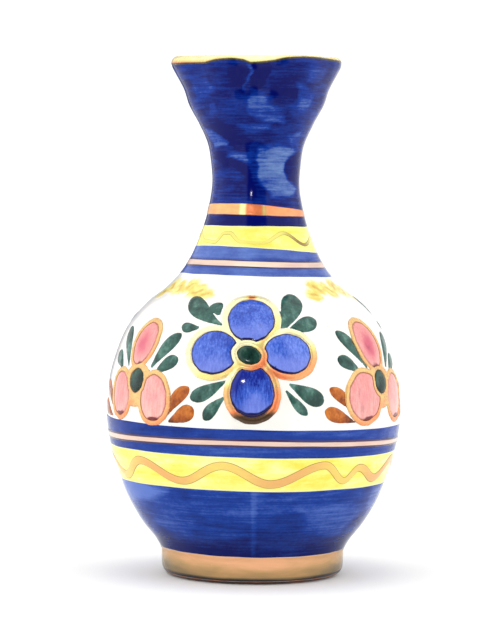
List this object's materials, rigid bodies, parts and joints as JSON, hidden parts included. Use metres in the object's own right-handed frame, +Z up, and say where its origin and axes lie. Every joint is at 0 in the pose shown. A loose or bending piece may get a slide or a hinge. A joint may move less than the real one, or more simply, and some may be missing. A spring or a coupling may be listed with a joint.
{
  "type": "pottery vase",
  "caption": "Round-bellied glazed pottery vase on a foot ring, with a narrow throat, a flared pleated mouth and painted flower decoration.",
  "frame": {"origin": "centre of the foot ring's resting plane, on the axis the vase was turned on", "axes": "+Z up along the turning axis, -Y towards the first blue flower and the deepest pleat of the rim, +X to the viewer's right"},
  "size_m": [0.0853, 0.0855, 0.1517],
  "materials": {
    "bare_clay": "matt fired terracotta",
    "white_glaze": "glossy tin glaze",
    "cobalt": "glossy, brushed on unevenly",
    "yellow": "glossy",
    "gold": "metallic lustre, satin",
    "pink": "glossy, with rose streaks",
    "leaf_green": "glossy",
    "ochre": "glossy"
  },
  "bodies": {
    "root": {"clay_foot": "bare_clay", "clay_body": "bare_clay", "clay_mouth": "bare_clay", "white_glaze": "white_glaze", "inside_glaze": "white_glaze", "mouth_blue": "cobalt", "lip_gold": "gold", "mouth_lining": "white_glaze", "foot_gold_band": "gold", "bowl_blue": "cobalt", "belly_yellow_band": "yellow", "belly_gold_wave": "gold", "belly_blue_band": "cobalt", "belly_gold_line": "gold", "shoulder_blue_band": "cobalt", "shoulder_gold_line": "gold", "neck_yellow_band": "yellow", "neck_gold_wave": "gold", "throat_blue": "cobalt", "neck_gold_band": "gold", "blue_petals_1": "cobalt", "blue_petals_2": "cobalt", "blue_petals_3": "cobalt", "blue_outline_1": "gold", "blue_outline_2": "gold", "blue_outline_3": "gold", "blue_flower_heart_1": "leaf_green", "blue_flower_heart_2": "leaf_green", "blue_flower_heart_3": "leaf_green", "blue_flower_leaves_1": "leaf_green", "blue_flower_leaves_2": "leaf_green", "blue_flower_leaves_3": "leaf_green", "pink_petals_1": "pink", "pink_petals_2": "pink", "pink_petals_3": "pink", "pink_outline_1": "gold", "pink_outline_2": "gold", "pink_outline_3": "gold", "pink_flower_heart_1": "leaf_green", "pink_flower_heart_2": "leaf_green", "pink_flower_heart_3": "leaf_green", "pink_flower_leaves_1": "leaf_green", "pink_flower_leaves_2": "leaf_green", "pink_flower_leaves_3": "leaf_green", "ochre_leaves_1": "ochre", "ochre_leaves_2": "ochre", "ochre_leaves_3": "ochre", "yellow_dabs_1": "yellow", "yellow_dabs_2": "yellow", "yellow_dabs_3": "yellow"}
  },
  "joints": []
}
